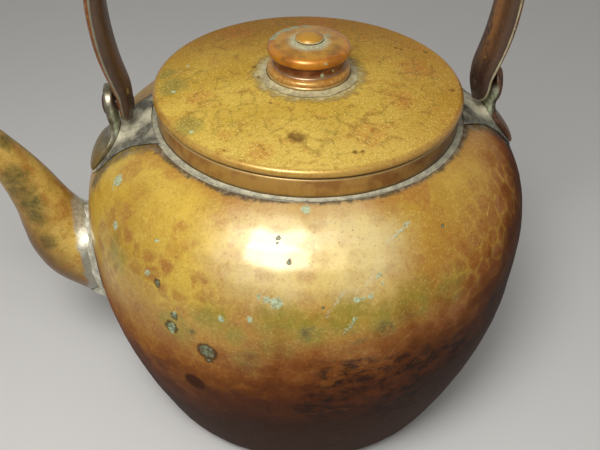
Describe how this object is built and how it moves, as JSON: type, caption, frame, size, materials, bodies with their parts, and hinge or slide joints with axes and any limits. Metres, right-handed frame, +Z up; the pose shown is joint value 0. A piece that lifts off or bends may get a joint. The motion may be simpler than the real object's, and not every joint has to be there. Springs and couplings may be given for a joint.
{
  "type": "kettle",
  "caption": "Round hammered copper kettle with an S-shaped side spout, a lift-off knobbed lid and a seamed arch bail that swings on soldered ears.",
  "frame": {"origin": "on the resting plane, under the middle of the round body", "axes": "+Z up, -X towards the spout, the bail's pivots on a line along X, +Y towards the far side"},
  "size_m": [0.219, 0.17, 0.2317],
  "materials": {
    "body_copper": "hammered copper with a golden patina",
    "lid_copper": "satin, finely speckled",
    "dark_copper": "dark umber patina",
    "knob_copper": "polished, warm orange-brown",
    "bronze": "grey-brown, with green patina",
    "solder": "matt pale grey"
  },
  "bodies": {
    "kettle": {"body_shell": "body_copper", "neck_collar": "dark_copper", "neck_solder": "solder", "spout": "body_copper", "spout_solder": "solder", "left_ear": "bronze", "right_ear": "bronze", "left_ear_solder": "solder", "right_ear_solder": "solder", "left_pivot_rivet": "bronze", "right_pivot_rivet": "bronze"},
    "lid": {"lid_plate": "lid_copper", "lid_flange": "dark_copper", "knob_base_ring": "knob_copper", "knob_neck": "knob_copper", "knob_cap": "knob_copper", "knob_rivet": "knob_copper", "knob_solder": "solder"},
    "bail": {"bail_outer_shell": "dark_copper", "bail_inner_strip": "dark_copper"}
  },
  "joints": [
    {"name": "bail_hinge", "type": "hinge", "parent": "kettle", "child": "bail", "pos_m": [0, 0, 0.131], "axis": [1, 0, 0], "range_deg": [-100, 100]},
    {"name": "lid_lift", "type": "slide", "parent": "kettle", "child": "lid", "axis": [0, 0, 1], "range_m": [0, 0.04]}
  ]
}
